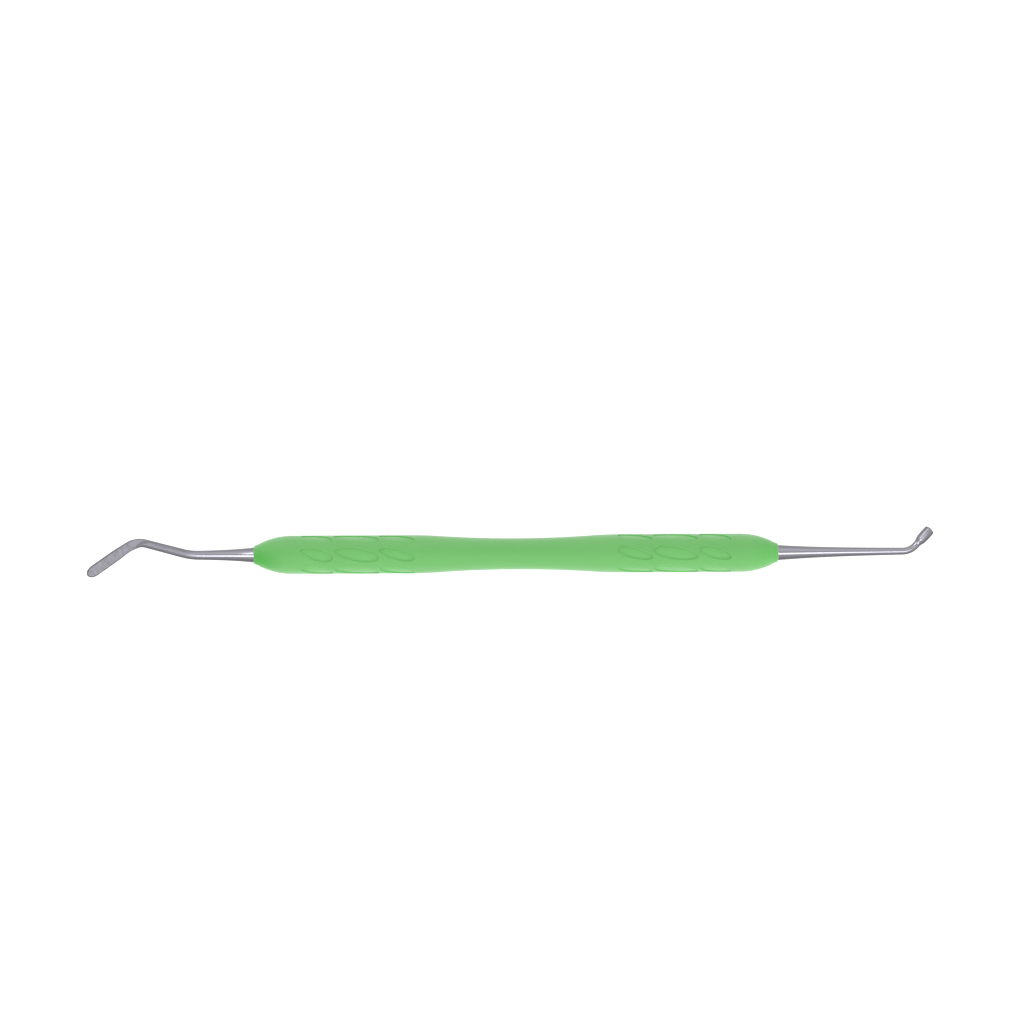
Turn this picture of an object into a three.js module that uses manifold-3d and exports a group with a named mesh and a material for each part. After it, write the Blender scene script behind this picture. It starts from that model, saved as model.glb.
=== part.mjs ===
// A double-ended dental filling instrument: a flat spatula at one end and a round condenser at the other,
// both held in a stainless core tube inside a moulded silicone grip.
// Millimetres, +Z up. The instrument lies on its grip, with the handle's axis along X and both working ends
// bent in the horizontal plane. The spatula is at -X and the condenser at +X.

import * as THREE from 'three';
import { mergeVertices } from 'three/addons/utils/BufferGeometryUtils.js';
import Module from 'manifold-3d';

const wasm = await Module();
wasm.setup();

// ---------------------------------------------------------------- driving dimensions

// Grip sleeve
const GRIP_RADIUS = 4.0;            // at the two fingertip zones
const WAIST_RADIUS = 3.25;          // at the middle of the handle
const GRIP_HALF_LENGTH = 54.75;
const WAIST_ARC_RADIUS = 232;       // hollow arc at the middle of the waist
const WAIST_ARC_END = 15.9;         // distance from the middle where the hollow arc ends
const SHOULDER_ARC_RADIUS = 88;     // rounded arc from the waist up to the full radius
const FULL_RADIUS_START = 21.9;
const DOME_START = 46.8;
const DOME_ARC_RADIUS = 14.8;
const DOME_END = 54.25;             // where the dome turns into the small end face
const END_FACE_WIDTH = 0.22;        // from the bore to the edge of that face
const GRIP_SIDES = 24;

// Leaf-shaped pockets in the sleeve
const POCKET_DEPTH = 0.25;
const POCKET_COLUMNS = 6;           // equally spaced round the handle
const POCKETS = [                   // the outer, middle and inner pocket of a column
  { centre: 41.55, halfLength: 3.46, halfWidth: 1.20, tilt: 15.9 },
  { centre: 33.3, halfLength: 4.77, halfWidth: 1.36, tilt: 9.4 },
  { centre: 24.85, halfLength: 3.80, halfWidth: 1.12, tilt: 14.6 },
];
const POCKET_BLUNTNESS = 0.12;      // how much blunter a pocket's far end is than its near end
const POCKET_OUTLINE_POINTS = 16;

// Core tube and bushes
const TUBE_OUTER_RADIUS = 2.5;
const TUBE_INNER_RADIUS = 2.0;
const TUBE_HALF_LENGTH = 50.5;
const BUSH_LENGTH = 11;
const FLANGE_THICKNESS = 1.0;
const CLEARANCE = 0.1;              // between two fitted pieces

// Tangs, the same at both ends
const TANG_RADIUS = 1.3;
const TANG_START = 38.5;
const TANG_GROOVES = [41.5, 44.5, 47.5];
const GROOVE_DEPTH = 0.2;
const GROOVE_WIDTH = 0.8;
const SHANK_ROOT_RADIUS = 1.58;     // where the shank leaves the grip

// Shank taper: the radius falls from the root's towards an end value, and FADE says how soon
const SPATULA_TAPER = { end: 0.85, fade: 6.0 };
const CONDENSER_TAPER = { end: 0.6, fade: 13.5 };

// Bends, each at a distance along the centreline from the handle's middle, seen with the end pointing to +X.
// A positive angle turns the end to the left.
const SPATULA_BENDS = [
  { at: 68.0, angle: -14.9, radius: 14 },
  { at: 79.7, angle: 49.8, radius: 4.2 },
];
const CONDENSER_BENDS = [
  { at: 56.0, angle: 0.4, radius: 60 },
  { at: 82.4, angle: 47.4, radius: 3.8 },
];

// Spatula blade
const BLADE_HALF_WIDTH = 1.165;
const BLADE_THICKNESS = 0.5;
const BLADE_FLAT_START = 75.6;      // where the round shank starts to flatten
const BLADE_FLAT_END = 79.6;        // where it has the blade's thickness
const BLADE_FLAT_SLANT = 2.0;       // the flats start further out on the inner side of the bend
const BLADE_WIDENING_START = 78.6;
const BLADE_STRAIGHT_START = 82.2;  // past the bend
const BLADE_FULL_WIDTH_AT = 86.0;
const BLADE_TIP_LENGTH = 1.9;
const BLADE_TIP_AT = 92.2;
const CROOK_FILL = 0.24;            // extra width on the inner side of the second bend
const CROOK_FILL_AT = 80.4;
const CROOK_FILL_REACH = 2.6;       // how far from its middle the extra width fades out

// Condenser head
const NECK_RADIUS = 0.74;
const NECK_START = 83.4;
const NECK_TAPER = 3.0;             // length over which the shank narrows to the neck
const HEAD_FLARE_START = 84.4;
const HEAD_START = 85.85;
const HEAD_RADIUS = 1.07;
const HEAD_BULGE = 0.045;           // the head's side is slightly barrel-shaped
const HEAD_EDGE = 0.22;             // rounded edge of the working face
const HEAD_EDGE_START = 88.28;
const HEAD_EDGE_TURN = 63;          // degrees that the edge turns before the bowed face begins
const HEAD_BOW_SHARE = 0.7;         // the bowed face has a ring of corners at this share of its radius
const HEAD_FLAT_SHARE = 0.35;       // and its middle is flat, over this share

const INSERT_SIDES = 24;
const SHANK_ROWS = [0, 2.5, 4.5, 7.5, 12];  // distances from the grip of the sections that show the taper
const DEGREES_PER_ROW = 7;          // how far a bend turns between two sections

// ---------------------------------------------------------------- geometry helpers

const { degToRad: radians, smoothstep, lerp, clamp } = THREE.MathUtils;

// Points on the arc of a circle whose centre is (cx, cy), from one angle to another, in degrees.
function arcPoints(cx, cy, radius, from, to, steps) {
  const points = [];
  for (let i = 0; i <= steps; i++) {
    const angle = radians(from + (to - from) * i / steps);
    points.push(new THREE.Vector2(cx + radius * Math.cos(angle), cy + radius * Math.sin(angle)));
  }
  return points;
}

// Revolves a profile of (position along X, radius) points about the X axis. A flat side faces up and another
// down, and the flats, not the corners, lie at the profile's radius.
function revolve(profile, sides) {
  const stretch = 1 / Math.cos(Math.PI / sides);
  const points = profile.map((p) => new THREE.Vector2(p.y * stretch, p.x));
  const geometry = new THREE.LatheGeometry(points, sides);
  geometry.rotateY(Math.PI / sides);
  geometry.rotateZ(-Math.PI / 2);
  return weld(geometry);
}

// Keeps only positions, joins equal vertices and drops triangles of no area.
function weld(geometry) {
  geometry.deleteAttribute('normal');
  geometry.deleteAttribute('uv');
  const welded = mergeVertices(geometry, 1e-5);
  const index = welded.getIndex().array;
  const kept = [];
  for (let i = 0; i < index.length; i += 3) {
    const [a, b, c] = [index[i], index[i + 1], index[i + 2]];
    if (a !== b && b !== c && c !== a) kept.push(a, b, c);
  }
  welded.setIndex(kept);
  return welded;
}

function toSolid(geometry) {
  const vertProperties = new Float32Array(geometry.getAttribute('position').array);
  const triVerts = new Uint32Array(geometry.getIndex().array);
  return new wasm.Manifold(new wasm.Mesh({ numProp: 3, vertProperties, triVerts }));
}

function toGeometry(solid) {
  const mesh = solid.getMesh();
  const geometry = new THREE.BufferGeometry();
  geometry.setAttribute('position', new THREE.BufferAttribute(new Float32Array(mesh.vertProperties), 3));
  geometry.setIndex(new THREE.BufferAttribute(new Uint32Array(mesh.triVerts), 1));
  return geometry;
}

// A ring with square corners, between two radii and two positions along X.
function ring(from, to, inner, outer) {
  return [
    new THREE.Vector2(from, inner),
    new THREE.Vector2(from, outer),
    new THREE.Vector2(to, outer),
    new THREE.Vector2(to, inner),
    new THREE.Vector2(from, inner),
  ];
}

// ---------------------------------------------------------------- grip sleeve

// Outer radius of the sleeve, without its pockets, at a distance from its middle.
function gripRadius(distance) {
  const u = Math.abs(distance);
  if (u < WAIST_ARC_END) {
    return WAIST_RADIUS + WAIST_ARC_RADIUS - Math.sqrt(WAIST_ARC_RADIUS ** 2 - u ** 2);
  }
  if (u < FULL_RADIUS_START) {
    const back = FULL_RADIUS_START - u;
    return GRIP_RADIUS - SHOULDER_ARC_RADIUS + Math.sqrt(SHOULDER_ARC_RADIUS ** 2 - back ** 2);
  }
  if (u < DOME_START) return GRIP_RADIUS;
  return GRIP_RADIUS - DOME_ARC_RADIUS + Math.sqrt(DOME_ARC_RADIUS ** 2 - (u - DOME_START) ** 2);
}

// Half of the sleeve's outer line, from the middle to the end face, closer points where it curves more.
function outerHalfLine() {
  const stops = [0];
  for (let i = 1; i <= 4; i++) stops.push(WAIST_ARC_END * i / 4);
  for (let i = 1; i <= 3; i++) {
    stops.push(WAIST_ARC_END + (FULL_RADIUS_START - WAIST_ARC_END) * i / 3);
  }
  for (let i = 0; i <= 8; i++) {
    const turn = Math.sin(Math.PI / 2 * i / 8);
    stops.push(DOME_START + (DOME_END - DOME_START) * turn);
  }
  return stops.map((u) => new THREE.Vector2(u, gripRadius(u)));
}

const GRIP_LIP_BORE = SHANK_ROOT_RADIUS + CLEARANCE;
const BORE_STEP = TUBE_HALF_LENGTH + FLANGE_THICKNESS + 2 * CLEARANCE;

function gripBody() {
  const half = outerHalfLine();
  half.push(new THREE.Vector2(GRIP_HALF_LENGTH, GRIP_LIP_BORE + END_FACE_WIDTH));
  half.push(new THREE.Vector2(GRIP_HALF_LENGTH, GRIP_LIP_BORE));
  half.push(new THREE.Vector2(BORE_STEP, GRIP_LIP_BORE));
  half.push(new THREE.Vector2(BORE_STEP, TUBE_OUTER_RADIUS + CLEARANCE));
  const mirrored = half.slice(1).reverse().map((p) => new THREE.Vector2(-p.x, p.y));
  const profile = [...mirrored, ...half, mirrored[0].clone()];
  return toSolid(revolve(profile, GRIP_SIDES));
}

// A leaf outline: an ellipse whose far end is blunter than its near end, tilted round its middle.
function leafShape(pocket) {
  const points = [];
  for (let i = 0; i < POCKET_OUTLINE_POINTS; i++) {
    const angle = 2 * Math.PI * i / POCKET_OUTLINE_POINTS;
    const along = pocket.halfLength * Math.cos(angle);
    const across = pocket.halfWidth * Math.sin(angle) * (1 + POCKET_BLUNTNESS * Math.cos(angle));
    points.push(new THREE.Vector2(along, across).rotateAround(new THREE.Vector2(), radians(-pocket.tilt)));
  }
  return new THREE.Shape(points);
}

// The cutter of one pocket at the top of the sleeve. The +X group is the -X group turned half a turn.
function leafCutter(pocket, side) {
  const cutter = new THREE.ExtrudeGeometry(leafShape(pocket), { depth: GRIP_RADIUS, bevelEnabled: false });
  cutter.translate(-pocket.centre, 0, GRIP_RADIUS / 2);
  if (side > 0) cutter.rotateZ(Math.PI);
  return toSolid(weld(cutter));
}

function gripSleeve() {
  const floorRadius = GRIP_RADIUS - POCKET_DEPTH;
  const floorProfile = [
    new THREE.Vector2(-DOME_START, 0),
    new THREE.Vector2(-DOME_START, floorRadius),
    new THREE.Vector2(DOME_START, floorRadius),
    new THREE.Vector2(DOME_START, 0),
  ];
  const floor = toSolid(revolve(floorProfile, GRIP_SIDES));
  let sleeve = gripBody();
  for (const side of [-1, 1]) {
    for (const pocket of POCKETS) {
      const cutter = leafCutter(pocket, side).subtract(floor);
      for (let column = 0; column < POCKET_COLUMNS; column++) {
        sleeve = sleeve.subtract(cutter.rotate([360 * column / POCKET_COLUMNS, 0, 0]));
      }
    }
  }
  return toGeometry(sleeve);
}

// ---------------------------------------------------------------- tube and bushes

function coreTube() {
  return revolve(ring(-TUBE_HALF_LENGTH, TUBE_HALF_LENGTH, TUBE_INNER_RADIUS, TUBE_OUTER_RADIUS), GRIP_SIDES);
}

// A bush for the +X end: a plain barrel inside the tube and a flange over the tube's end.
function bush() {
  const bore = TANG_RADIUS + CLEARANCE;
  const barrel = TUBE_INNER_RADIUS - CLEARANCE;
  const seat = TUBE_HALF_LENGTH + CLEARANCE;
  const face = seat + FLANGE_THICKNESS;
  const profile = [
    new THREE.Vector2(seat - BUSH_LENGTH, bore),
    new THREE.Vector2(seat - BUSH_LENGTH, barrel),
    new THREE.Vector2(seat, barrel),
    new THREE.Vector2(seat, TUBE_OUTER_RADIUS),
    new THREE.Vector2(face, TUBE_OUTER_RADIUS),
    new THREE.Vector2(face, bore),
    new THREE.Vector2(seat - BUSH_LENGTH, bore),
  ];
  return revolve(profile, GRIP_SIDES);
}

// ---------------------------------------------------------------- working-end inserts

// Where a bent centreline is, and which way it heads, at a distance along it. Each bend is an arc that rounds
// the corner between two straight legs.
function bentLine(distance, bends) {
  const point = new THREE.Vector2(0, 0);
  let heading = 0;
  let passed = 0;
  const advance = (length) => {
    point.x += length * Math.cos(heading);
    point.y += length * Math.sin(heading);
  };
  for (const bend of bends) {
    const turn = radians(bend.angle);
    const tangent = bend.radius * Math.tan(Math.abs(turn) / 2);
    const arcStart = bend.at - tangent;
    if (distance <= arcStart) break;
    advance(arcStart - passed);
    const share = Math.min(1, (distance - arcStart) / (2 * tangent));
    const chord = 2 * bend.radius * Math.sin(Math.abs(turn) * share / 2);
    heading += turn * share / 2;
    advance(chord);
    heading += turn * share / 2;
    passed = Math.min(distance, bend.at + tangent);
  }
  advance(distance - passed);
  return { point, heading };
}

// Bends a straight bar that runs along +X. Before that, shape moves each point sideways and up or down.
function bendBar(geometry, bends, shape) {
  const position = geometry.getAttribute('position');
  for (let i = 0; i < position.count; i++) {
    const distance = position.getX(i);
    const { point, heading } = bentLine(distance, bends);
    const { side, height } = shape(distance, position.getY(i), position.getZ(i));
    position.setXYZ(i, point.x - side * Math.sin(heading), point.y + side * Math.cos(heading), height);
  }
  return geometry;
}

// The tang's line, from its inner end on the axis to where the shank leaves the grip.
function tangLine() {
  const line = [new THREE.Vector2(TANG_START, 0), new THREE.Vector2(TANG_START, TANG_RADIUS - GROOVE_DEPTH)];
  line.push(new THREE.Vector2(TANG_START + GROOVE_DEPTH, TANG_RADIUS));
  for (const groove of TANG_GROOVES) {
    line.push(new THREE.Vector2(groove - GROOVE_WIDTH / 2, TANG_RADIUS));
    line.push(new THREE.Vector2(groove - GROOVE_WIDTH / 4, TANG_RADIUS - GROOVE_DEPTH));
    line.push(new THREE.Vector2(groove + GROOVE_WIDTH / 4, TANG_RADIUS - GROOVE_DEPTH));
    line.push(new THREE.Vector2(groove + GROOVE_WIDTH / 2, TANG_RADIUS));
  }
  line.push(new THREE.Vector2(BORE_STEP, TANG_RADIUS));
  line.push(new THREE.Vector2(BORE_STEP, SHANK_ROOT_RADIUS));
  return line;
}

function shankRadius(distance, taper) {
  const out = Math.max(0, distance - GRIP_HALF_LENGTH);
  return taper.end + (SHANK_ROOT_RADIUS - taper.end) * Math.exp(-out / taper.fade);
}

// Distances for the rows of a shank: closer together near the root and in each bend.
function shankStops(bends, last) {
  const stops = SHANK_ROWS.map((d) => GRIP_HALF_LENGTH + d);
  for (const bend of bends) {
    const tangent = bend.radius * Math.tan(radians(Math.abs(bend.angle)) / 2);
    const rows = Math.ceil(Math.abs(bend.angle) / DEGREES_PER_ROW);
    for (let i = 0; i <= rows; i++) stops.push(bend.at - tangent + 2 * tangent * i / rows);
  }
  return stops.filter((d) => d < last).sort((a, b) => a - b);
}

function bladeHalfWidth(distance) {
  const share = smoothstep(distance, BLADE_WIDENING_START, BLADE_FULL_WIDTH_AT);
  return lerp(shankRadius(distance, SPATULA_TAPER), BLADE_HALF_WIDTH, share);
}

function bladeHalfThickness(distance, side) {
  const share = smoothstep(distance - BLADE_FLAT_SLANT * side, BLADE_FLAT_START, BLADE_FLAT_END);
  return lerp(SHANK_ROOT_RADIUS, BLADE_THICKNESS / 2, share);
}

// The spatula's bar is fuller on the inner side of its second bend, and flattened into the blade.
function bladeShape(distance, side, height) {
  const nearness = 1 - Math.abs(distance - CROOK_FILL_AT) / CROOK_FILL_REACH;
  const fill = CROOK_FILL * smoothstep(nearness, 0, 1) / bladeHalfWidth(distance);
  const limit = bladeHalfThickness(distance, side);
  return { side: side > 0 ? side * (1 + fill) : side, height: clamp(height, -limit, limit) };
}

function spatulaInsert() {
  const line = tangLine();
  for (const d of shankStops(SPATULA_BENDS, BLADE_STRAIGHT_START)) {
    line.push(new THREE.Vector2(d, bladeHalfWidth(d)));
  }
  const wideRows = 5;
  for (let i = 0; i <= wideRows; i++) {
    const d = lerp(BLADE_STRAIGHT_START, BLADE_FULL_WIDTH_AT, i / wideRows);
    line.push(new THREE.Vector2(d, bladeHalfWidth(d)));
  }
  const tipRows = 7;
  for (let i = 0; i <= tipRows; i++) {
    const angle = Math.PI / 2 * i / tipRows;
    const d = BLADE_TIP_AT - BLADE_TIP_LENGTH * (1 - Math.sin(angle));
    line.push(new THREE.Vector2(d, i < tipRows ? BLADE_HALF_WIDTH * Math.cos(angle) : 0));
  }
  return bendBar(revolve(line, INSERT_SIDES), SPATULA_BENDS, bladeShape);
}

function condenserInsert() {
  const line = tangLine();
  for (const d of shankStops(CONDENSER_BENDS, HEAD_FLARE_START)) {
    const share = smoothstep(d, NECK_START - NECK_TAPER, NECK_START);
    line.push(new THREE.Vector2(d, lerp(shankRadius(d, CONDENSER_TAPER), NECK_RADIUS, share)));
  }
  const flareRows = 4;
  for (let i = 0; i <= flareRows; i++) {
    const d = lerp(HEAD_FLARE_START, HEAD_START, i / flareRows);
    const share = smoothstep(d, HEAD_FLARE_START, HEAD_START);
    line.push(new THREE.Vector2(d, lerp(NECK_RADIUS, HEAD_RADIUS, share)));
  }
  const sideRows = 4;
  for (let i = 1; i <= sideRows; i++) {
    const bulge = HEAD_BULGE * Math.sin(Math.PI * i / sideRows);
    line.push(new THREE.Vector2(lerp(HEAD_START, HEAD_EDGE_START, i / sideRows), HEAD_RADIUS + bulge));
  }
  const edgeEnd = 90 - HEAD_EDGE_TURN;
  const edge = arcPoints(HEAD_EDGE_START, HEAD_RADIUS - HEAD_EDGE, HEAD_EDGE, 90, edgeEnd, 3);
  line.push(...edge.slice(1));
  const face = edge[edge.length - 1];
  const crown = face.y / 2 * Math.tan(radians(edgeEnd));
  for (const share of [HEAD_BOW_SHARE, HEAD_FLAT_SHARE]) {
    line.push(new THREE.Vector2(face.x + crown * (1 - share * share), face.y * share));
  }
  line.push(new THREE.Vector2(line[line.length - 1].x, 0));
  const asTurned = (distance, side, height) => ({ side, height });
  return bendBar(revolve(line, INSERT_SIDES), CONDENSER_BENDS, asTurned);
}

// ---------------------------------------------------------------- assembly

const silicone = new THREE.MeshStandardMaterial({ color: 0x67c95b, roughness: 0.6, metalness: 0 });
const steel = { color: 0xb9b7bd, metalness: 1 };
const turnedSteel = new THREE.MeshStandardMaterial({ ...steel, roughness: 0.4 });
const drawnSteel = new THREE.MeshStandardMaterial({ ...steel, roughness: 0.5 });
const groundSteel = new THREE.MeshStandardMaterial({ ...steel, roughness: 0.3 });

function piece(name, geometry, material) {
  const mesh = new THREE.Mesh(geometry, material.clone());
  mesh.name = name;
  return mesh;
}

const spatulaEnd = new THREE.Group();
spatulaEnd.add(piece('spatula_insert', spatulaInsert(), groundSteel));
spatulaEnd.add(piece('spatula_bush', bush(), turnedSteel));
spatulaEnd.rotation.z = Math.PI;

const condenserEnd = new THREE.Group();
condenserEnd.add(piece('condenser_insert', condenserInsert(), groundSteel));
condenserEnd.add(piece('condenser_bush', bush(), turnedSteel));

const handle = new THREE.Group();
handle.add(piece('grip_sleeve', gripSleeve(), silicone));
handle.add(piece('core_tube', coreTube(), drawnSteel));

// The origin is under the middle of the instrument's outline, on the surface that it lies on.
const instrument = new THREE.Group();
instrument.add(handle, spatulaEnd, condenserEnd);
const outline = new THREE.Box3().setFromObject(instrument, true);
const middle = outline.getCenter(new THREE.Vector3());
instrument.position.set(-middle.x, -middle.y, -outline.min.z);

const part = new THREE.Group();
part.add(instrument);

export default part;
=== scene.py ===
# Looks for a double-ended dental filling instrument: a green silicone grip with leaf-shaped pockets, a flat
# spatula at one end and a round condenser at the other. Lengths named in capitals are in millimetres.
import math

import bmesh
import bpy
import numpy as np
from mathutils import Matrix, Vector
from mathutils.geometry import delaunay_2d_cdt


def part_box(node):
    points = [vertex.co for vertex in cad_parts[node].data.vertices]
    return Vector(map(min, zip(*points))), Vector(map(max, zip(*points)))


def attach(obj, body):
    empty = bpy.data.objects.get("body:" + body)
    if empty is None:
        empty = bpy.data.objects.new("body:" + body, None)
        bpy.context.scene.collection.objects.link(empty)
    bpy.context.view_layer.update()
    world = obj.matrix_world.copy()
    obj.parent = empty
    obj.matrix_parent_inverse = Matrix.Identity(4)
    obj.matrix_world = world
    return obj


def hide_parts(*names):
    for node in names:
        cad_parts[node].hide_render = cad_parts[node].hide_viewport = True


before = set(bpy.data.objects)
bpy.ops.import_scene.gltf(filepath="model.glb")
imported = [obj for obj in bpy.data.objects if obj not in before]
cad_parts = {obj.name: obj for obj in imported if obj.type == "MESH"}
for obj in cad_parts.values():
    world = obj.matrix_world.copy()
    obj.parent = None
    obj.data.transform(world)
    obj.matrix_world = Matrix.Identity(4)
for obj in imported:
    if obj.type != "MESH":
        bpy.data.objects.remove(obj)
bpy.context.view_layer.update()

MM = 0.001
BODY = "root"

# The handle's middle. The sleeve is the same on both sides of it.
grip_low, grip_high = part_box("grip_sleeve")
HANDLE_MIDDLE = (grip_low + grip_high) / 2

# ---------------------------------------------------------------- dimensions, in millimetres

GRIP_RADIUS = 4.0
WAIST_RADIUS = 3.25
GRIP_HALF_LENGTH = 54.75
WAIST_ARC_RADIUS = 232
WAIST_ARC_END = 15.9
SHOULDER_ARC_RADIUS = 88
FULL_RADIUS_START = 21.9
DOME_START = 46.8
DOME_ARC_RADIUS = 14.8
LIP_START = 54.0            # where the dome turns over into the lip round the shank
LIP_CORNER = (54.68, 1.97)  # the corner that the lip rounds off: (along, radius)

POCKET_DEPTH = 0.25
POCKET_COLUMNS = 6
BLUNTNESS = 0.12        # how much blunter a pocket's far end is than its near end
POCKETS = [
    {"centre": 41.55, "half_length": 3.46, "half_width": 1.20, "tilt": 15.9},
    {"centre": 33.3, "half_length": 4.77, "half_width": 1.36, "tilt": 9.4},
    {"centre": 24.85, "half_length": 3.80, "half_width": 1.12, "tilt": 14.6},
]
# The step down at a pocket's edge: (distance outside the outline, share of the pocket's depth)
POCKET_EDGE = [
    (0.10, 0.0), (0.03, 0.0), (0.012, 0.04), (0.005, 0.2), (0.0, 0.5),
    (-0.005, 0.8), (-0.012, 0.96), (-0.03, 1.0), (-0.10, 1.0),
]

TUBE_OUTER_RADIUS = 2.5
TUBE_CLEARANCE = 0.1
SHANK_CLEARANCE = 0.01
BORE_STEP = 51.7        # where the bore narrows from the tube's width to the shank's
# How the bore opens at its mouth: (distance in from the grip's end, gap round the shank)
MOUTH = [(0.0, 0.07), (0.04, 0.02), (0.15, SHANK_CLEARANCE)]

TANG_RADIUS = 1.3
TANG_START = 38.5
TANG_GROOVES = [41.5, 44.5, 47.5]
GROOVE_DEPTH = 0.2
GROOVE_WIDTH = 0.8
SHANK_ROOT_RADIUS = 1.58

# The shank's radius falls from the root's towards an end value: (end value, distance over which it fades)
SPATULA_TAPER = (0.85, 6.0)
CONDENSER_TAPER = (0.6, 13.5)
# Bends: (distance along the bar, degrees, radius of the arc)
SPATULA_BENDS = [(68.0, -14.9, 14), (79.7, 49.8, 4.2)]
CONDENSER_BENDS = [(56.0, 0.4, 60), (82.4, 47.4, 3.8)]

BLADE_HALF_WIDTH = 1.165
BLADE_THICKNESS = 0.5
BLADE_EDGE_SHARE = 0.2      # how much of the blade's half width is its bevelled edge
BLADE_EDGE_BOW = 1.3        # the bevel's outline: 1 is a straight bevel, and 2 is a round edge
BLADE_FLAT_START = 75.6
BLADE_FLAT_END = 79.6
BLADE_FLAT_SLANT = 2.0      # the flat begins this much later for each millimetre towards one side
BLADE_FLAT_SOFTNESS = 14    # how the flat meets the round bar: the higher, the sharper
BLADE_BEVEL_BEFORE = 1.5    # the bevel begins this far before the flat is whole
BLADE_BEVEL_AFTER = 1.0     # and it is whole this far after
BLADE_WIDENING_START = 78.6
BLADE_FULL_WIDTH_AT = 86.0
BLADE_TIP_LENGTH = 1.9
BLADE_TIP_AT = 92.2
CROOK_FILL = 0.24           # extra width on the inner side of the second bend
CROOK_FILL_AT = 80.4
CROOK_FILL_REACH = 2.6      # how far from its middle the extra width fades out

NECK_RADIUS = 0.74
NECK_START = 83.4
NECK_TAPER = 3.0
HEAD_FLARE_START = 84.4
HEAD_START = 85.85
HEAD_RADIUS = 1.07
HEAD_BULGE = 0.045
HEAD_EDGE_RADIUS = 0.22
HEAD_EDGE_TURN = 63         # degrees that the rounded edge turns before the bowed face begins
HEAD_EDGE_START = 88.28
HEAD_FLAT_SHARE = 0.35      # the middle of the bowed face is flat, over this share of its radius

SMALLEST = 1e-6             # stands in for zero where it would be divided by


# ---------------------------------------------------------------- small helpers

def smoothstep(value, start, end):
    """0 before start, 1 past end, and a smooth rise between them."""
    share = np.clip((np.asarray(value, float) - start) / (end - start), 0, 1)
    return share * share * (3 - 2 * share)


def lerp(a, b, share):
    return a + (b - a) * share


def new_piece(name, vertices, faces, straight=None, **shares):
    """A smooth mesh object, from points in millimetres measured from the handle's middle. straight gives each
    point's place before its bar was bent, for materials whose grain follows the bar. shares holds more values
    for each point, under the names by which the materials read them."""
    vertices = np.asarray(vertices, float)
    mesh = bpy.data.meshes.new(name)
    mesh.from_pydata((vertices * MM + np.array(HANDLE_MIDDLE)).tolist(), [], faces)
    grain = mesh.attributes.new("straight", "FLOAT_VECTOR", "POINT")
    grain_points = vertices if straight is None else np.asarray(straight, float)
    grain.data.foreach_set("vector", grain_points.astype(np.float32).ravel())
    for share_name, values in shares.items():
        share = mesh.attributes.new(share_name, "FLOAT", "POINT")
        share.data.foreach_set("value", np.asarray(values, np.float32))
    work = bmesh.new()
    work.from_mesh(mesh)
    bmesh.ops.remove_doubles(work, verts=work.verts, dist=1e-7)
    bmesh.ops.dissolve_degenerate(work, edges=work.edges, dist=1e-8)
    bmesh.ops.recalc_face_normals(work, faces=work.faces)
    work.to_mesh(mesh)
    work.free()
    mesh.shade_smooth()
    piece = bpy.data.objects.new(name, mesh)
    bpy.context.scene.collection.objects.link(piece)
    return piece


def lathe_rings(line, sides, first_angle):
    """Rings of points round the X axis, for a line of (along, radius) points. Angle 0 is straight up."""
    angles = first_angle + np.linspace(0, 2 * math.pi, sides, endpoint=False)
    line = np.asarray(line, float)
    along = np.repeat(line[:, 0], sides)
    radius = np.repeat(line[:, 1], sides)
    angle = np.tile(angles, len(line))
    return np.column_stack([along, radius * np.sin(angle), radius * np.cos(angle)])


def ring_faces(rings, sides, first=0):
    """Four-sided faces between neighbouring rings of points. first is the first ring's first point."""
    faces = []
    for ring in range(rings - 1):
        for i in range(sides):
            a = first + ring * sides + i
            b = first + ring * sides + (i + 1) % sides
            faces.append((a, b, b + sides, a + sides))
    return faces


# ---------------------------------------------------------------- grip sleeve

def grip_radius(distance):
    """The sleeve's outer radius without its pockets, at distances from its middle."""
    u = np.abs(np.asarray(distance, float))
    waist = WAIST_RADIUS + WAIST_ARC_RADIUS - np.sqrt(WAIST_ARC_RADIUS**2 - u**2)
    back = FULL_RADIUS_START - u
    shoulder = GRIP_RADIUS - SHOULDER_ARC_RADIUS + np.sqrt(SHOULDER_ARC_RADIUS**2 - back**2)
    past = np.clip(u - DOME_START, 0, DOME_ARC_RADIUS)
    dome = GRIP_RADIUS - DOME_ARC_RADIUS + np.sqrt(DOME_ARC_RADIUS**2 - past**2)
    return np.select(
        [u < WAIST_ARC_END, u < FULL_RADIUS_START, u < DOME_START],
        [waist, shoulder, np.full_like(u, GRIP_RADIUS)],
        dome,
    )


POCKET_STEPS = 96       # points round a pocket's outline
STRIP_END = 46.5        # the pocketed strips reach from -STRIP_END to +STRIP_END
STRIP_ROWS = 187
STRIP_CELLS = 12        # across one strip
KEEP_CLEAR = 0.3        # plain points stay this far from a pocket's outline


def pocket_axes(pocket, side):
    """A pocket's centre, and the directions of its long and short axes, seen from above."""
    turn = math.radians(180 - pocket["tilt"] if side > 0 else -pocket["tilt"])
    centre = np.array([side * pocket["centre"], 0.0])
    long_axis = np.array([math.cos(turn), math.sin(turn)])
    short_axis = np.array([-long_axis[1], long_axis[0]])
    return centre, long_axis, short_axis


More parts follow.
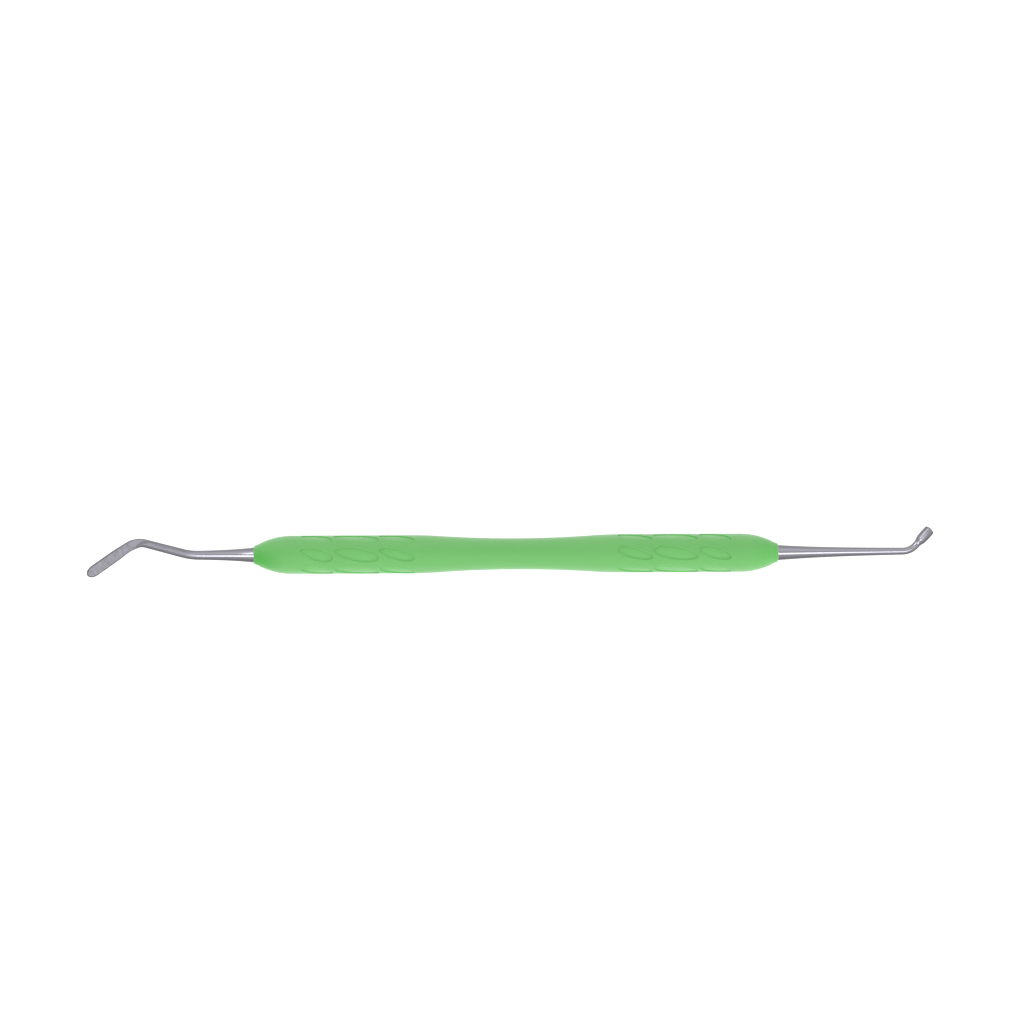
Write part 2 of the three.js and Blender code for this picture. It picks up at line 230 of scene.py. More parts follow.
def pocket_ring(pocket, side, outside):
    """Points round a pocket's outline, or round a line that lies a little outside or inside it."""
    centre, long_axis, short_axis = pocket_axes(pocket, side)
    angle = np.linspace(0, 2 * math.pi, POCKET_STEPS, endpoint=False)
    along = pocket["half_length"] * np.cos(angle)
    across = pocket["half_width"] * np.sin(angle) * (1 + BLUNTNESS * np.cos(angle))
    outline = np.column_stack([along, across])
    tangent = np.roll(outline, -1, axis=0) - np.roll(outline, 1, axis=0)
    normal = np.column_stack([tangent[:, 1], -tangent[:, 0]])
    normal /= np.linalg.norm(normal, axis=1)[:, None]
    ring = outline + normal * outside
    return centre + ring[:, :1] * long_axis + ring[:, 1:] * short_axis


def inside_pocket(points, pocket, side):
    centre, long_axis, short_axis = pocket_axes(pocket, side)
    along = (points - centre) @ long_axis / pocket["half_length"]
    across = (points - centre) @ short_axis / pocket["half_width"]
    return along**2 + (across / (1 + BLUNTNESS * along)) ** 2 < 1


def unroll(points):
    """From points seen from above to (position along the handle, arc length round it)."""
    return np.column_stack([points[:, 0], GRIP_RADIUS * np.arcsin(points[:, 1] / GRIP_RADIUS)])


def pocketed_strip():
    """One column of pockets as a flat mesh. It returns the points as (along, arc length), how far each one is
    sunk, as a share of the pockets' depth, and the faces."""
    half_arc = GRIP_RADIUS * math.pi / POCKET_COLUMNS
    rows = np.linspace(-STRIP_END, STRIP_END, STRIP_ROWS)
    grid = np.array([(x, v) for x in rows for v in np.linspace(-half_arc, half_arc, STRIP_CELLS + 1)])
    seen = np.column_stack([grid[:, 0], GRIP_RADIUS * np.sin(grid[:, 1] / GRIP_RADIUS)])
    grid_sunk = np.zeros(len(grid))
    keep = np.ones(len(grid), bool)
    points, sunk, edges = [], [], []
    for side in (-1, 1):
        for pocket in POCKETS:
            grid_sunk[inside_pocket(seen, pocket, side)] = 1.0
            outline = pocket_ring(pocket, side, 0)
            keep &= np.linalg.norm(seen[:, None] - outline[None], axis=2).min(axis=1) > KEEP_CLEAR
            for outside, share in POCKET_EDGE:
                first = len(points)
                points.extend(unroll(pocket_ring(pocket, side, outside)))
                sunk.extend([share] * POCKET_STEPS)
                edges.extend((first + i, first + (i + 1) % POCKET_STEPS) for i in range(POCKET_STEPS))
    points.extend(grid[keep])
    sunk.extend(grid_sunk[keep])
    flat, _, faces, sources, _, _ = delaunay_2d_cdt([Vector(p) for p in points], edges, [], 0, 1e-6)
    return np.array([tuple(p) for p in flat]), np.array([sunk[source[0]] for source in sources]), faces


def sleeve_end_line():
    """From the pocketed strips' end, over the dome and the lip, and back through the bore to the middle."""
    line = [(STRIP_END, GRIP_RADIUS)]
    dome_rows = 36
    for i in range(dome_rows + 1):
        u = lerp(DOME_START, LIP_START, math.sin(math.pi / 2 * i / dome_rows))
        line.append((u, float(grip_radius(u))))
    start = np.array(line[-1])
    corner = np.array(LIP_CORNER)
    mouth = [(GRIP_HALF_LENGTH - inwards, SHANK_ROOT_RADIUS + gap) for inwards, gap in MOUTH]
    end = np.array(mouth[0])
    lip_rows = 10
    for i in range(1, lip_rows + 1):
        t = i / lip_rows
        line.append(tuple((1 - t) ** 2 * start + 2 * t * (1 - t) * corner + t**2 * end))
    line.extend(mouth[1:])
    line.append((BORE_STEP, SHANK_ROOT_RADIUS + SHANK_CLEARANCE))
    line.append((BORE_STEP, TUBE_OUTER_RADIUS + TUBE_CLEARANCE))
    line.append((0, TUBE_OUTER_RADIUS + TUBE_CLEARANCE))
    return line


def build_sleeve():
    """The grip: equal strips of pockets side by side, and at both ends a dome that leads into the bore."""
    flat, strip_sunk, strip_faces = pocketed_strip()
    vertices, sunk, faces = [], [], []
    for column in range(POCKET_COLUMNS):
        angle = flat[:, 1] / GRIP_RADIUS + 2 * math.pi * column / POCKET_COLUMNS
        radius = grip_radius(flat[:, 0]) - POCKET_DEPTH * strip_sunk
        first = len(vertices)
        vertices.extend(np.column_stack([flat[:, 0], radius * np.sin(angle), radius * np.cos(angle)]))
        sunk.extend(strip_sunk)
        faces.extend([tuple(first + i for i in face) for face in strip_faces])
    sides = POCKET_COLUMNS * STRIP_CELLS
    for side in (-1, 1):
        line = [(side * x, r) for x, r in sleeve_end_line()]
        first = len(vertices)
        vertices.extend(lathe_rings(line, sides, math.pi / POCKET_COLUMNS))
        sunk.extend([0.0] * (len(vertices) - first))
        faces.extend(ring_faces(len(line), sides, first))
    return new_piece("silicone_grip", vertices, faces, sunk=sunk)


# ---------------------------------------------------------------- working ends

INSERT_SIDES = 96
ROW_SPACING = 0.18


def bent_line(distance, bends):
    """Where a bent centreline is and which way it heads, at a distance along it."""
    x = y = heading = passed = 0.0
    for at, degrees, radius in bends:
        turn = math.radians(degrees)
        tangent = radius * math.tan(abs(turn) / 2)
        if distance <= at - tangent:
            break
        straight = at - tangent - passed
        x += straight * math.cos(heading)
        y += straight * math.sin(heading)
        share = min(1.0, (distance - at + tangent) / (2 * tangent))
        chord = 2 * radius * math.sin(abs(turn) * share / 2)
        heading += turn * share / 2
        x += chord * math.cos(heading)
        y += chord * math.sin(heading)
        heading += turn * share / 2
        passed = min(distance, at + tangent)
    x += (distance - passed) * math.cos(heading)
    y += (distance - passed) * math.sin(heading)
    return x, y, heading


def shank_radius(distance, taper):
    """The round shank's radius, which falls from the root's towards the taper's end value."""
    end, fade = taper
    out = np.maximum(0, np.asarray(distance, float) - GRIP_HALF_LENGTH)
    return end + (SHANK_ROOT_RADIUS - end) * np.exp(-out / fade)


def tang_line():
    """The grooved tang inside the grip, up to the shank's root."""
    line = [(TANG_START, 0.0), (TANG_START, TANG_RADIUS - GROOVE_DEPTH)]
    line.append((TANG_START + GROOVE_DEPTH, TANG_RADIUS))
    for groove in TANG_GROOVES:
        line.append((groove - GROOVE_WIDTH / 2, TANG_RADIUS))
        line.append((groove - GROOVE_WIDTH / 4, TANG_RADIUS - GROOVE_DEPTH))
        line.append((groove + GROOVE_WIDTH / 4, TANG_RADIUS - GROOVE_DEPTH))
        line.append((groove + GROOVE_WIDTH / 2, TANG_RADIUS))
    line.append((BORE_STEP, TANG_RADIUS))
    line.append((BORE_STEP, SHANK_ROOT_RADIUS))
    return line


def spatula_line():
    """The spatula's half width from its tang to its tip."""
    line = tang_line()
    tip_start = BLADE_TIP_AT - BLADE_TIP_LENGTH
    for d in np.arange(GRIP_HALF_LENGTH, tip_start, ROW_SPACING):
        share = smoothstep(d, BLADE_WIDENING_START, BLADE_FULL_WIDTH_AT)
        line.append((d, float(lerp(shank_radius(d, SPATULA_TAPER), BLADE_HALF_WIDTH, share))))
    tip_rows = 32
    for i in range(tip_rows + 1):
        angle = math.pi / 2 * i / tip_rows
        half_width = BLADE_HALF_WIDTH * math.cos(angle) if i < tip_rows else 0.0
        line.append((tip_start + BLADE_TIP_LENGTH * math.sin(angle), half_width))
    return line


def shape_blade(distance, side, height, half_width):
    """Sides and heights of points on the round bar, once it is flattened into the blade. The bar is fuller on
    the inner side of its second bend."""
    slanted = distance - BLADE_FLAT_SLANT * side
    flatness = smoothstep(slanted, BLADE_FLAT_START, BLADE_FLAT_END)
    limit = lerp(SHANK_ROOT_RADIUS, BLADE_THICKNESS / 2, flatness)
    size = np.maximum(np.abs(height), SMALLEST)
    power = -float(BLADE_FLAT_SOFTNESS)
    clipped = (size**power + limit**power) ** (1 / power)
    clipped = np.where(flatness > 0, clipped, size)
    tip = np.clip((distance - BLADE_TIP_AT + BLADE_TIP_LENGTH) / BLADE_TIP_LENGTH, 0, 1)
    half_width = np.maximum(half_width, SMALLEST)
    width = np.where(tip > 0, BLADE_HALF_WIDTH, half_width)
    out = np.sqrt((side / width) ** 2 + tip**2)
    edge = np.clip((out - 1 + BLADE_EDGE_SHARE) / BLADE_EDGE_SHARE, 0, 1)
    bladed = limit * (1 - edge**BLADE_EDGE_BOW) ** (1 / BLADE_EDGE_BOW)
    blade_share = smoothstep(slanted, BLADE_FLAT_END - BLADE_BEVEL_BEFORE, BLADE_FLAT_END + BLADE_BEVEL_AFTER)
    nearness = 1 - np.abs(distance - CROOK_FILL_AT) / CROOK_FILL_REACH
    fill = CROOK_FILL * smoothstep(nearness, 0, 1) / half_width
    return side * (1 + fill * (side > 0)), np.sign(height) * lerp(clipped, bladed, blade_share)


def condenser_line():
    """The condenser's radius from its tang to the middle of its face."""
    line = tang_line()
    for d in np.arange(GRIP_HALF_LENGTH, HEAD_FLARE_START, ROW_SPACING):
        share = smoothstep(d, NECK_START - NECK_TAPER, NECK_START)
        line.append((d, float(lerp(shank_radius(d, CONDENSER_TAPER), NECK_RADIUS, share))))
    flare_rows = 24
    for i in range(flare_rows + 1):
        distance = lerp(HEAD_FLARE_START, HEAD_START, i / flare_rows)
        share = float(smoothstep(distance, HEAD_FLARE_START, HEAD_START))
        line.append((distance, lerp(NECK_RADIUS, HEAD_RADIUS, share)))
    side_rows = 16
    for i in range(1, side_rows + 1):
        bulge = HEAD_BULGE * math.sin(math.pi * i / side_rows)
        line.append((lerp(HEAD_START, HEAD_EDGE_START, i / side_rows), HEAD_RADIUS + bulge))
    edge_rows = 8
    for i in range(1, edge_rows + 1):
        angle = math.radians(HEAD_EDGE_TURN) * i / edge_rows
        radius = HEAD_RADIUS - HEAD_EDGE_RADIUS * (1 - math.cos(angle))
        line.append((HEAD_EDGE_START + HEAD_EDGE_RADIUS * math.sin(angle), radius))
    face_start, face_radius = line[-1]
    crown = face_radius / 2 / math.tan(math.radians(HEAD_EDGE_TURN))
    face_rows = 6
    for i in range(1, face_rows + 1):
        share = lerp(1, HEAD_FLAT_SHARE, i / face_rows)
        line.append((face_start + crown * (1 - share**2), face_radius * share))
    line.append((line[-1][0], 0.0))
    return line


def build_insert(name, line, bends, end, shape=None):
    """A turned bar, shaped and then bent along its centreline. end is 1 for the +X end, and -1 for the other,
    half a turn away. Its points carry "across", from -1 on one side of the bar to 1 on the other."""
    rings = lathe_rings(line, INSERT_SIDES, 0)
    half_width = np.repeat(np.asarray(line, float)[:, 1], INSERT_SIDES)
    across = rings[:, 1] / np.maximum(half_width, SMALLEST)
    if shape is not None:
        rings[:, 1], rings[:, 2] = shape(rings[:, 0], rings[:, 1], rings[:, 2], half_width)
    placed = []
    for distance, side, height in rings:
        x, y, heading = bent_line(distance, bends)
        x -= side * math.sin(heading)
        y += side * math.cos(heading)
        placed.append((end * x, end * y, height))
    return new_piece(name, placed, ring_faces(len(line), INSERT_SIDES), straight=rings, across=across)


# ---------------------------------------------------------------- materials

def new_material(name):
    """A material with only a surface shader, and its node tree and shader."""
    material = bpy.data.materials.new(name)
    material.use_nodes = True
    tree = material.node_tree
    tree.nodes.clear()
    shader = tree.nodes.new("ShaderNodeBsdfPrincipled")
    output = tree.nodes.new("ShaderNodeOutputMaterial")
    tree.links.new(shader.outputs["BSDF"], output.inputs["Surface"])
    return material, tree, shader


def point_share(tree, name):
    """A value that the mesh's points carry."""
    node = tree.nodes.new("ShaderNodeAttribute")
    node.attribute_name = name
    return node.outputs["Fac"]


def grain_coordinates(tree, stretch):
    """The point's place on the straight bar, in millimetres, times a stretch for each axis."""
    place = tree.nodes.new("ShaderNodeAttribute")
    place.attribute_name = "straight"
    scaled = tree.nodes.new("ShaderNodeVectorMath")
    scaled.operation = "MULTIPLY"
    scaled.inputs[1].default_value = stretch
    tree.links.new(place.outputs["Vector"], scaled.inputs[0])
    return scaled.outputs["Vector"]


def object_coordinates(tree, per_metre):
    """The point's place in its object, in metres, times a number for each axis."""
    place = tree.nodes.new("ShaderNodeTexCoord")
    scaled = tree.nodes.new("ShaderNodeVectorMath")
    scaled.operation = "MULTIPLY"
    scaled.inputs[1].default_value = per_metre
    tree.links.new(place.outputs["Object"], scaled.inputs[0])
    return scaled.outputs["Vector"]


def noise(tree, vector, scale, detail=2.0, roughness=0.5):
    """Smooth noise. scale is how many features fit in one unit of the vector, more or less."""
    node = tree.nodes.new("ShaderNodeTexNoise")
    node.inputs["Scale"].default_value = scale
    node.inputs["Detail"].default_value = detail
    node.inputs["Roughness"].default_value = roughness
    tree.links.new(vector, node.inputs["Vector"])
    return node.outputs["Fac"]


def spread(tree, value, low, high, from_low=0.25, from_high=0.75):
    """Maps a value that runs from from_low to from_high onto the range from low to high, and holds it past
    both ends. Most of a noise lies between a quarter and three quarters."""
    node = tree.nodes.new("ShaderNodeMapRange")
    node.inputs["From Min"].default_value = from_low
    node.inputs["From Max"].default_value = from_high
    node.inputs["To Min"].default_value = low
    node.inputs["To Max"].default_value = high
    tree.links.new(value, node.inputs["Value"])
    return node.outputs["Result"]


def math_node(tree, operation, a, b):
    """One sum on two values, each a number or another node's output."""
    node = tree.nodes.new("ShaderNodeMath")
    node.operation = operation
    for socket, value in zip(node.inputs, (a, b)):
        if isinstance(value, (int, float)):
            socket.default_value = value
        else:
            tree.links.new(value, socket)
    return node.outputs["Value"]


def mix_colour(tree, factor, first, second):
    """first where the factor is 0, and second where it is 1. Each is a colour or another node's output."""
    node = tree.nodes.new("ShaderNodeMix")
    node.data_type = "RGBA"
    colour_inputs = [s for s in node.inputs if s.type == "RGBA"]
    for socket, value in zip(colour_inputs, (first, second)):
        if isinstance(value, tuple):
            socket.default_value = value
        else:
            tree.links.new(value, socket)
    tree.links.new(factor, node.inputs["Factor"])
    return next(s for s in node.outputs if s.type == "RGBA")


def bump(tree, shader, height, depth):
    """Raises the surface's shading by a noise. depth is in metres."""
    node = tree.nodes.new("ShaderNodeBump")
    node.inputs["Strength"].default_value = 1.0
    node.inputs["Distance"].default_value = depth
    tree.links.new(height, node.inputs["Height"])
    tree.links.new(node.outputs["Normal"], shader.inputs["Normal"])


# The darker and the lighter green that the mottling mixes
SILICONE_TONES = (0.096, 0.394, 0.074, 1), (0.106, 0.421, 0.084, 1)
# Painted light: the pockets' floors are a slightly lighter green, to offset the shade inside the pockets.
POCKET_FLOOR_PAINTED_LIGHT_TONES = (0.101, 0.416, 0.079, 1), (0.111, 0.444, 0.089, 1)
# Painted shade: a deeper green on the pockets' walls, which are seen in shade.
POCKET_WALL_PAINTED_SHADE = (0.086, 0.480, 0.067, 1)
# Painted shade: the deeper green towards the ends.
DEEP_PAINTED_SHADE = (0.024, 0.374, 0.012, 1)
# The colour grows deeper between these distances from the middle: painted shade, for the ends' lesser sheen
# and light. At the spatula's end it does so fully on the -Y side and little on the +Y side, and at the
# condenser's end partly all round.
DEEP_BETWEEN = (48.5, 53.5)
DEEP_AT_SPATULA_BACK = 0.25
DEEP_AT_CONDENSER = 0.4
DEEP_SIDES = 1.5            # how far to each side of the axis it takes to change from the +Y to the -Y value
SILICONE_ROUGHNESS = (0.64, 0.74)
SILICONE_GRAIN_DEPTH = 0.004
# The weight of the coat: on plain green, and where shade is painted, on the pockets' walls and the deep ends
COAT_WEIGHTS = (0.8, 0.25)


def silicone_material():
    """Matt green silicone, slightly mottled. Painted shade makes its colour deeper at the ends and on the
    pockets' walls, and there it has less of the hazy coat. The pockets' floors carry painted light, a
    slightly lighter green."""
    material, tree, shader = new_material("silicone_green")
    place = grain_coordinates(tree, (1.0, 1.0, 1.0))
    cloud = noise(tree, place, 0.09, 3.0)
    mottle = noise(tree, place, 1.6, 4.0, 0.6)
    grain = noise(tree, place, 9.0, 3.0, 0.6)
    tone = math_node(tree, "ADD", spread(tree, cloud, 0.0, 0.6), spread(tree, mottle, 0.0, 0.4))
    sunk = point_share(tree, "sunk")
    outer = mix_colour(tree, tone, *SILICONE_TONES)
    # Painted light on the pockets' floors.
    floor = mix_colour(tree, tone, *POCKET_FLOOR_PAINTED_LIGHT_TONES)
    colour = mix_colour(tree, sunk, outer, floor)
    below_rim = spread(tree, sunk, 0.0, 1.0, 0.0, 0.2)
    above_floor = spread(tree, sunk, 1.0, 0.0, 0.8, 1.0)
    wall = math_node(tree, "MINIMUM", below_rim, above_floor)
    # Painted shade on the pockets' walls.
    colour = mix_colour(tree, wall, colour, POCKET_WALL_PAINTED_SHADE)
    parts = tree.nodes.new("ShaderNodeSeparateXYZ")
    tree.links.new(place, parts.inputs["Vector"])
    along = parts.outputs["X"]
    start, end = DEEP_BETWEEN
    at_spatula = spread(tree, along, 1.0, 0.0, -end, -start)
    front_share = spread(tree, parts.outputs["Y"], 1.0, DEEP_AT_SPATULA_BACK, -DEEP_SIDES, DEEP_SIDES)
    at_condenser = spread(tree, along, 0.0, DEEP_AT_CONDENSER, start, end)
    deep = math_node(tree, "MAXIMUM", math_node(tree, "MULTIPLY", at_spatula, front_share), at_condenser)
    # Painted shade: the deeper green at the ends.
    colour = mix_colour(tree, deep, colour, DEEP_PAINTED_SHADE)
    tree.links.new(colour, shader.inputs["Base Color"])
    tree.links.new(spread(tree, mottle, *SILICONE_ROUGHNESS), shader.inputs["Roughness"])
    shader.inputs["IOR"].default_value = 1.6
    # Less coat where shade is painted.
    shaded_places = math_node(tree, "MAXIMUM", wall, deep)
    tree.links.new(spread(tree, shaded_places, *COAT_WEIGHTS, 0.0, 1.0), shader.inputs["Coat Weight"])
    shader.inputs["Coat Roughness"].default_value = 0.7
    shader.inputs["Sheen Weight"].default_value = 0.5
    shader.inputs["Sheen Roughness"].default_value = 0.5
    bump(tree, shader, grain, SILICONE_GRAIN_DEPTH * MM)
    return material


def tone_of(colour, share):
    """A colour made darker or lighter."""
    return tuple(min(1.0, c * share) for c in colour) + (1.0,)


STEEL = (0.495, 0.484, 0.540)
POLISHED_ROUGHNESS = 0.12
ROUGHNESS_STEP = 0.02       # how far the roughness strays either way
POLISHED_TONES = (0.92, 1.08)
STEEL_GRAIN_DEPTH = 0.0012
# How the noise of the steel's grain is stretched along the bar and across it
GRAIN_ALONG = (0.25, 7.0, 7.0)
GRAIN_ACROSS = (1.7, 1.1, 1.1)
# Painted shade: a darker tone along one edge of the satin bar, standing in for a dark reflection.
SHADED_EDGE_BAND = (-0.62, -0.88)  # where the edge tone begins and where it is whole, across the bar
# Satin zones. Each takes over from the one before it between two distances along the bar. Its tones are
# shares of the steel's colour, and the edge tone is the share along the edge that across puts at -1, painted
# shade for a dark reflection.
SPATULA_ZONES = [
    {
        "between": (65.5, 69.5),
        "tones": (0.72, 0.98),
        "shaded_edge_tone": 0.85,
        "roughness": 0.56,
        "grain": GRAIN_ALONG,
    },
    {
        "between": (78.5, 81.5),
        "tones": (0.54, 0.88),
        "shaded_edge_tone": 0.42,
        "roughness": 0.38,
        "grain": GRAIN_ACROSS,
    },
]
CONDENSER_ZONES = [
    {
        "between": (84.4, 86.0),
        "tones": (0.8, 1.05),
        "shaded_edge_tone": 0.92,
        "roughness": 0.30,
        "grain": GRAIN_ALONG,
    },
]


def steel_material(name, zones):
    """Ground steel, polished where it leaves the grip and satin in the zones, with painted shade along one
    edge of the satin.
    """
    material, tree, shader = new_material(name)
    shader.inputs["Metallic"].default_value = 1.0
    parts = tree.nodes.new("ShaderNodeSeparateXYZ")
    tree.links.new(grain_coordinates(tree, (1.0, 1.0, 1.0)), parts.inputs["Vector"])
    stains = noise(tree, grain_coordinates(tree, (0.5, 0.9, 0.9)), 1.0, 3.0)
    grain = noise(tree, grain_coordinates(tree, GRAIN_ALONG), 1.0, 3.0, 0.6)
    colour = mix_colour(tree, grain, *(tone_of(STEEL, share) for share in POLISHED_TONES))
    roughness = spread(tree, stains, POLISHED_ROUGHNESS - ROUGHNESS_STEP, POLISHED_ROUGHNESS + ROUGHNESS_STEP)
    edge = spread(tree, point_share(tree, "across"), 1.0, 0.0, SHADED_EDGE_BAND[1], SHADED_EDGE_BAND[0])
    for zone in zones:
        share = spread(tree, parts.outputs["X"], 0.0, 1.0, *zone["between"])
        grain = noise(tree, grain_coordinates(tree, zone["grain"]), 1.0, 4.0, 0.7)
        contrast = spread(tree, grain, 0.0, 1.0, 0.3, 0.7)
        satin = mix_colour(tree, contrast, *(tone_of(STEEL, tone) for tone in zone["tones"]))
        # Painted shade along the edge that across puts at -1.
        satin = mix_colour(tree, edge, satin, tone_of(STEEL, zone["shaded_edge_tone"]))
        colour = mix_colour(tree, share, colour, satin)
        low, high = zone["roughness"] - ROUGHNESS_STEP, zone["roughness"] + ROUGHNESS_STEP
        satin_roughness = spread(tree, stains, low, high)
        change = math_node(tree, "MULTIPLY", math_node(tree, "SUBTRACT", satin_roughness, roughness), share)
        roughness = math_node(tree, "ADD", roughness, change)
    tree.links.new(colour, shader.inputs["Base Color"])
    tree.links.new(roughness, shader.inputs["Roughness"])
    bump(tree, shader, grain, STEEL_GRAIN_DEPTH * MM)
    return material


INNER_TONES = (0.85, 1.1)
INNER_ROUGHNESS_STEP = 0.06
INNER_GRAIN_DEPTH = 0.003


def inner_steel(name, roughness):
    """Turned or drawn steel for the CAD nodes inside the grip, with fine rings round the axis."""
    material, tree, shader = new_material(name)
    shader.inputs["Metallic"].default_value = 1.0
    rings = noise(tree, object_coordinates(tree, (9000.0, 300.0, 300.0)), 1.0, 2.0)
    stains = noise(tree, object_coordinates(tree, (400.0, 400.0, 400.0)), 1.0, 3.0)
    tone = mix_colour(tree, stains, *(tone_of(STEEL, share) for share in INNER_TONES))
    tree.links.new(tone, shader.inputs["Base Color"])
    uneven = spread(tree, rings, roughness - INNER_ROUGHNESS_STEP, roughness + INNER_ROUGHNESS_STEP)
    tree.links.new(uneven, shader.inputs["Roughness"])
    bump(tree, shader, rings, INNER_GRAIN_DEPTH * MM)
    return material


# ---------------------------------------------------------------- pieces

grip = build_sleeve()
grip.data.materials.append(silicone_material())
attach(grip, BODY)
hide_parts("grip_sleeve")

spatula = build_insert("spatula", spatula_line(), SPATULA_BENDS, -1, shape_blade)
spatula.data.materials.append(steel_material("ground_steel_spatula", SPATULA_ZONES))
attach(spatula, BODY)
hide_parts("spatula_insert")

condenser = build_insert("condenser", condenser_line(), CONDENSER_BENDS, 1)
condenser.data.materials.append(steel_material("ground_steel_condenser", CONDENSER_ZONES))
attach(condenser, BODY)
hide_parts("condenser_insert")

for node, material in (
    ("core_tube", inner_steel("drawn_steel", 0.5)),
    ("spatula_bush", inner_steel("turned_steel", 0.4)),
    ("condenser_bush", inner_steel("turned_steel_condenser", 0.4)),
):
    cad_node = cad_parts[node]
    cad_node.data.materials.clear()
    cad_node.data.materials.append(material)

# ---------------------------------------------------------------- floor, lights and camera

FRAME_WIDTH = 213.9         # what fits across the picture, at the height of the handle's axis
HANDLE_OFF_CENTRE = (0.84, -8.73)   # where the handle's middle lies in the picture, from the picture's centre
ROLL = 0.27                 # degrees that the picture is turned by
LENS = 200.0
SENSOR = 36.0

FLOOR_RADIUS = 1600.0       # where the floor begins to curve up
WALL_RADIUS = 2400.0
WALL_HEIGHT = 3200.0
FLOOR_CURVE_ROWS = 12
FLOOR_SIDES = 96
FLOOR_GLOW = 0.88           # keeps the floor near white under soft light


def build_stage():
    """A pale floor that curves up into a wall far behind the object."""
    line = [(0.0, 0.0), (FLOOR_RADIUS / 4, 0.0), (FLOOR_RADIUS / 2, 0.0), (FLOOR_RADIUS, 0.0)]
    curve = WALL_RADIUS - FLOOR_RADIUS
    for i in range(1, FLOOR_CURVE_ROWS + 1):
        angle = math.pi / 2 * i / FLOOR_CURVE_ROWS
        line.append((FLOOR_RADIUS + curve * math.sin(angle), curve * (1 - math.cos(angle))))
    line.append((WALL_RADIUS, WALL_HEIGHT))
    vertices = []
    for radius, height in line:
        for i in range(FLOOR_SIDES):
            angle = 2 * math.pi * i / FLOOR_SIDES
            vertices.append((radius * math.cos(angle) * MM, radius * math.sin(angle) * MM, height * MM))
    mesh = bpy.data.meshes.new("studio_floor")
    mesh.from_pydata(vertices, [], ring_faces(len(line), FLOOR_SIDES))
    work = bmesh.new()
    work.from_mesh(mesh)
    bmesh.ops.remove_doubles(work, verts=work.verts, dist=1e-6)
    bmesh.ops.recalc_face_normals(work, faces=work.faces)
    work.to_mesh(mesh)
    work.free()
    mesh.shade_smooth()
    floor = bpy.data.objects.new("studio_floor", mesh)
    bpy.context.scene.collection.objects.link(floor)
    material, _, shader = new_material("studio_floor")
    shader.inputs["Base Color"].default_value = (0.3, 0.3, 0.3, 1)
    shader.inputs["Roughness"].default_value = 1.0
    shader.inputs["Specular IOR Level"].default_value = 0.0
    shader.inputs["Emission Color"].default_value = (1, 1, 1, 1)
    shader.inputs["Emission Strength"].default_value = FLOOR_GLOW
    floor.data.materials.append(material)
    floor.visible_glossy = False


LIGHT_DISTANCE = 1.0    # metres from the handle's middle


def add_light(name, direction, size, radiance, in_gloss):
    """A soft rectangular light that faces the handle, with its width along X. direction points from the
    handle to the light, as (along X, along Y, up). size is (width, height) in metres. in_gloss says whether
    glossy surfaces reflect it."""
    data = bpy.data.lights.new(name, "AREA")
    data.shape = "RECTANGLE"
    data.size, data.size_y = size
    data.energy = radiance * math.pi * size[0] * size[1]
    light = bpy.data.objects.new(name, data)
    away = Vector(direction).normalized()
    light.location = HANDLE_MIDDLE + away * LIGHT_DISTANCE
    along = (Vector((1, 0, 0)) - away * away.x).normalized()
    light.rotation_euler = Matrix((along, away.cross(along), away)).transposed().to_euler()
    light.visible_glossy = in_gloss
    light.visible_camera = False
    bpy.context.scene.collection.objects.link(light)


TENT_LEAN = 0.2         # how much brighter the tent is towards +Y, and darker towards -Y
# How bright the tent is: (height of the direction, from -1 straight down to 1 straight up, brightness)
TENT_LEVELS = [
    (-1.0, 0.44), (-0.1, 0.44), (0.15, 0.5), (0.68, 0.72), (0.93, 0.66), (0.975, 0.50), (1.0, 0.46),
]


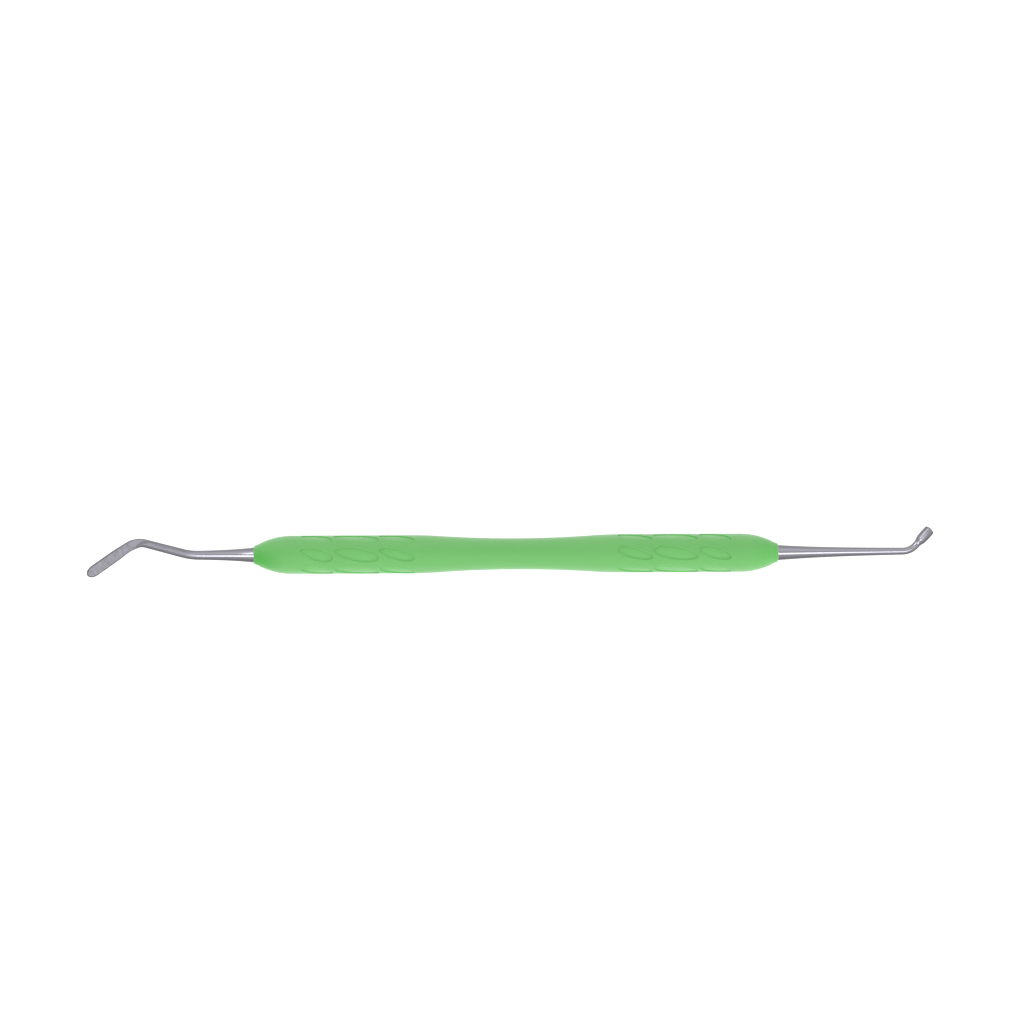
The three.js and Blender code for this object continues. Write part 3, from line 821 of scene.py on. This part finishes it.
def build_world():
    """A soft tent of light round the object."""
    world = bpy.data.worlds.new("studio_tent")
    world.use_nodes = True
    tree = world.node_tree
    tree.nodes.clear()
    direction = tree.nodes.new("ShaderNodeTexCoord")
    parts = tree.nodes.new("ShaderNodeSeparateXYZ")
    tree.links.new(direction.outputs["Generated"], parts.inputs["Vector"])
    level = spread(tree, parts.outputs["Z"], 0.0, 1.0, -1.0, 1.0)
    ramp = tree.nodes.new("ShaderNodeValToRGB")
    tree.links.new(level, ramp.inputs["Fac"])
    elements = ramp.color_ramp.elements
    while len(elements) < len(TENT_LEVELS):
        elements.new(0.5)
    for element, (height, brightness) in zip(elements, TENT_LEVELS):
        element.position = (height + 1) / 2
        element.color = (brightness, brightness, brightness, 1)
    background = tree.nodes.new("ShaderNodeBackground")
    output = tree.nodes.new("ShaderNodeOutputWorld")
    tree.links.new(ramp.outputs["Color"], background.inputs["Color"])
    lean = spread(tree, parts.outputs["Y"], 1 - TENT_LEAN, 1 + TENT_LEAN, -1.0, 1.0)
    tree.links.new(lean, background.inputs["Strength"])
    tree.links.new(background.outputs["Background"], output.inputs["Surface"])
    bpy.context.scene.world = world


def build_camera():
    """A long lens straight above the handle."""
    data = bpy.data.cameras.new("camera")
    data.lens = LENS
    data.sensor_width = SENSOR
    data.clip_start, data.clip_end = 0.05, 20.0
    camera = bpy.data.objects.new("camera", data)
    roll = math.radians(-ROLL)
    right = Vector((math.cos(roll), math.sin(roll), 0))
    up = Vector((-math.sin(roll), math.cos(roll), 0))
    off_x, off_y = HANDLE_OFF_CENTRE
    distance = FRAME_WIDTH * LENS / SENSOR
    camera.location = HANDLE_MIDDLE - right * off_x * MM - up * off_y * MM + Vector((0, 0, distance * MM))
    camera.rotation_euler = (0, 0, roll)
    bpy.context.scene.collection.objects.link(camera)
    bpy.context.scene.camera = camera


build_stage()
build_world()
add_light("overhead_softbox", (-0.045, -0.315, 1.0), (0.63, 0.46), 1.9, in_gloss=True)
add_light("upper_left_softbox", (-0.46, 0.50, 1.0), (0.22, 0.34), 2.6, in_gloss=True)
add_light("low_right_light", (0.90, -0.70, 0.08), (0.6, 0.40), 6.5, in_gloss=False)
add_light("back_fill", (0.0, 1.0, 0.22), (1.6, 0.5), 0.25, in_gloss=False)
add_light("front_fill", (0.5, -1.0, 0.12), (1.2, 0.4), 1.1, in_gloss=False)
build_camera()
bpy.context.scene.view_settings.view_transform = "Standard"
